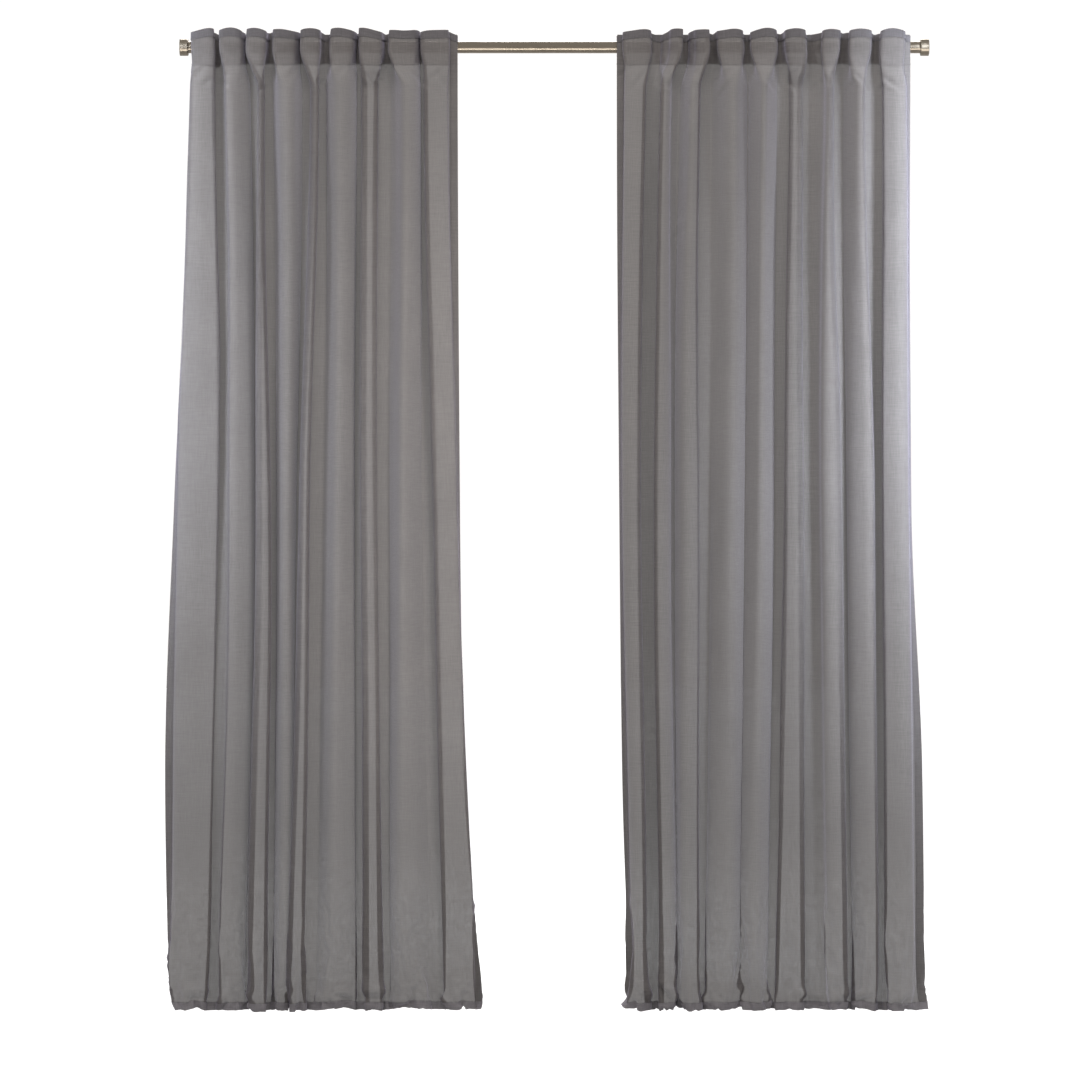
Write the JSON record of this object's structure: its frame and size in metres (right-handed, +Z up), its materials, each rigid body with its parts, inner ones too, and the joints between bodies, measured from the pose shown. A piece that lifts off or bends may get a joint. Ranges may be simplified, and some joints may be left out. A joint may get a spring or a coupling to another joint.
{
  "type": "window curtains on a rod",
  "caption": "Pair of sheer back-tab curtain panels hung from a capped wall rod on two brackets; panels draw along the rod and the rod lifts out.",
  "frame": {"origin": "on the wall plane at the height of the rod's axis, midway along the rod", "axes": "+X along the rod to the right as seen from the room, +Y into the wall, +Z up; the room is on the -Y side"},
  "size_m": [1.646, 0.2027, 2.131],
  "materials": {
    "rod_metal": "satin champagne-bronze plating, lightly brushed along the tube",
    "bracket_metal": "satin champagne-bronze plating",
    "screw_steel": "bright zinc plating",
    "curtain_cloth": "semi-sheer grey linen-look voile with fine slubs both ways",
    "tab_cloth": "the same voile doubled into a hanging tab"
  },
  "bodies": {
    "brackets": {"left_bracket_wall_plate": "bracket_metal", "left_bracket_arm": "bracket_metal", "left_bracket_cradle": "bracket_metal", "left_upper_wall_screw": "screw_steel", "left_lower_wall_screw": "screw_steel", "right_bracket_wall_plate": "bracket_metal", "right_bracket_arm": "bracket_metal", "right_bracket_cradle": "bracket_metal", "right_upper_wall_screw": "screw_steel", "right_lower_wall_screw": "screw_steel"},
    "rod": {"rod_tube": "rod_metal", "left_tab_0": "tab_cloth", "left_side_hem": "curtain_cloth", "right_tab_0": "tab_cloth", "right_side_hem": "curtain_cloth"},
    "left_thumb_screw": {"left_bracket_thumb_screw": "bracket_metal"},
    "left_cap": {"left_end_cap": "rod_metal", "left_cap_screw": "screw_steel"},
    "left_lead": {"left_tab_9": "tab_cloth", "left_fold_9": "curtain_cloth"},
    "left_glide_1": {"left_tab_1": "tab_cloth", "left_fold_1": "curtain_cloth"},
    "left_glide_2": {"left_tab_2": "tab_cloth", "left_fold_2": "curtain_cloth"},
    "left_glide_3": {"left_tab_3": "tab_cloth", "left_fold_3": "curtain_cloth"},
    "left_glide_4": {"left_tab_4": "tab_cloth", "left_fold_4": "curtain_cloth"},
    "left_glide_5": {"left_tab_5": "tab_cloth", "left_fold_5": "curtain_cloth"},
    "left_glide_6": {"left_tab_6": "tab_cloth", "left_fold_6": "curtain_cloth"},
    "left_glide_7": {"left_tab_7": "tab_cloth", "left_fold_7": "curtain_cloth"},
    "left_glide_8": {"left_tab_8": "tab_cloth", "left_fold_8": "curtain_cloth"},
    "right_thumb_screw": {"right_bracket_thumb_screw": "bracket_metal"},
    "right_cap": {"right_end_cap": "rod_metal", "right_cap_screw": "screw_steel"},
    "right_lead": {"right_tab_9": "tab_cloth", "right_fold_9": "curtain_cloth"},
    "right_glide_1": {"right_tab_1": "tab_cloth", "right_fold_1": "curtain_cloth"},
    "right_glide_2": {"right_tab_2": "tab_cloth", "right_fold_2": "curtain_cloth"},
    "right_glide_3": {"right_tab_3": "tab_cloth", "right_fold_3": "curtain_cloth"},
    "right_glide_4": {"right_tab_4": "tab_cloth", "right_fold_4": "curtain_cloth"},
    "right_glide_5": {"right_tab_5": "tab_cloth", "right_fold_5": "curtain_cloth"},
    "right_glide_6": {"right_tab_6": "tab_cloth", "right_fold_6": "curtain_cloth"},
    "right_glide_7": {"right_tab_7": "tab_cloth", "right_fold_7": "curtain_cloth"},
    "right_glide_8": {"right_tab_8": "tab_cloth", "right_fold_8": "curtain_cloth"}
  },
  "joints": [
    {"name": "rod_lift", "type": "slide", "parent": "brackets", "child": "rod", "axis": [0, 0, 1], "range_m": [0, 0.04]},
    {"name": "left_thumb_screw_out", "type": "slide", "parent": "brackets", "child": "left_thumb_screw", "axis": [0, -1, 0], "range_m": [0, 0.004]},
    {"name": "left_cap_pull", "type": "slide", "parent": "rod", "child": "left_cap", "axis": [-1, 0, 0], "range_m": [0, 0.03]},
    {"name": "left_draw", "type": "slide", "parent": "rod", "child": "left_lead", "axis": [1, 0, 0], "range_m": [-0.2, 0.148]},
    {"name": "left_slide_1", "type": "slide", "parent": "rod", "child": "left_glide_1", "axis": [1, 0, 0], "range_m": [-0.00437, 0.00324]},
    {"name": "left_slide_2", "type": "slide", "parent": "rod", "child": "left_glide_2", "axis": [1, 0, 0], "range_m": [-0.01853, 0.01372]},
    {"name": "left_slide_3", "type": "slide", "parent": "rod", "child": "left_glide_3", "axis": [1, 0, 0], "range_m": [-0.03937, 0.02913]},
    {"name": "left_slide_4", "type": "slide", "parent": "rod", "child": "left_glide_4", "axis": [1, 0, 0], "range_m": [-0.07043, 0.05212]},
    {"name": "left_slide_5", "type": "slide", "parent": "rod", "child": "left_glide_5", "axis": [1, 0, 0], "range_m": [-0.10136, 0.07501]},
    {"name": "left_slide_6", "type": "slide", "parent": "rod", "child": "left_glide_6", "axis": [1, 0, 0], "range_m": [-0.13689, 0.1013]},
    {"name": "left_slide_7", "type": "slide", "parent": "rod", "child": "left_glide_7", "axis": [1, 0, 0], "range_m": [-0.16597, 0.12282]},
    {"name": "left_slide_8", "type": "slide", "parent": "rod", "child": "left_glide_8", "axis": [1, 0, 0], "range_m": [-0.1909, 0.14127]},
    {"name": "right_thumb_screw_out", "type": "slide", "parent": "brackets", "child": "right_thumb_screw", "axis": [0, -1, 0], "range_m": [0, 0.004]},
    {"name": "right_cap_pull", "type": "slide", "parent": "rod", "child": "right_cap", "axis": [1, 0, 0], "range_m": [0, 0.03]},
    {"name": "right_draw", "type": "slide", "parent": "rod", "child": "right_lead", "axis": [-1, 0, 0], "range_m": [-0.2, 0.148]},
    {"name": "right_slide_1", "type": "slide", "parent": "rod", "child": "right_glide_1", "axis": [-1, 0, 0], "range_m": [-0.00666, 0.00493]},
    {"name": "right_slide_2", "type": "slide", "parent": "rod", "child": "right_glide_2", "axis": [-1, 0, 0], "range_m": [-0.02498, 0.01849]},
    {"name": "right_slide_3", "type": "slide", "parent": "rod", "child": "right_glide_3", "axis": [-1, 0, 0], "range_m": [-0.05017, 0.03713]},
    {"name": "right_slide_4", "type": "slide", "parent": "rod", "child": "right_glide_4", "axis": [-1, 0, 0], "range_m": [-0.082, 0.06068]},
    {"name": "right_slide_5", "type": "slide", "parent": "rod", "child": "right_glide_5", "axis": [-1, 0, 0], "range_m": [-0.11832, 0.08756]},
    {"name": "right_slide_6", "type": "slide", "parent": "rod", "child": "right_glide_6", "axis": [-1, 0, 0], "range_m": [-0.1513, 0.11196]},
    {"name": "right_slide_7", "type": "slide", "parent": "rod", "child": "right_glide_7", "axis": [-1, 0, 0], "range_m": [-0.17244, 0.1276]},
    {"name": "right_slide_8", "type": "slide", "parent": "rod", "child": "right_glide_8", "axis": [-1, 0, 0], "range_m": [-0.19005, 0.14064]}
  ],
  "couplings": [
    {"joint": "left_slide_1", "follows": "left_draw", "ratio": 0.0218},
    {"joint": "left_slide_2", "follows": "left_draw", "ratio": 0.09261},
    {"joint": "left_slide_3", "follows": "left_draw", "ratio": 0.19678},
    {"joint": "left_slide_4", "follows": "left_draw", "ratio": 0.35208},
    {"joint": "left_slide_5", "follows": "left_draw", "ratio": 0.50674},
    {"joint": "left_slide_6", "follows": "left_draw", "ratio": 0.68442},
    {"joint": "left_slide_7", "follows": "left_draw", "ratio": 0.82981},
    {"joint": "left_slide_8", "follows": "left_draw", "ratio": 0.95445},
    {"joint": "right_slide_1", "follows": "right_draw", "ratio": 0.03323},
    {"joint": "right_slide_2", "follows": "right_draw", "ratio": 0.12485},
    {"joint": "right_slide_3", "follows": "right_draw", "ratio": 0.25079},
    {"joint": "right_slide_4", "follows": "right_draw", "ratio": 0.40996},
    {"joint": "right_slide_5", "follows": "right_draw", "ratio": 0.59156},
    {"joint": "right_slide_6", "follows": "right_draw", "ratio": 0.75643},
    {"joint": "right_slide_7", "follows": "right_draw", "ratio": 0.86213},
    {"joint": "right_slide_8", "follows": "right_draw", "ratio": 0.95021}
  ]
}
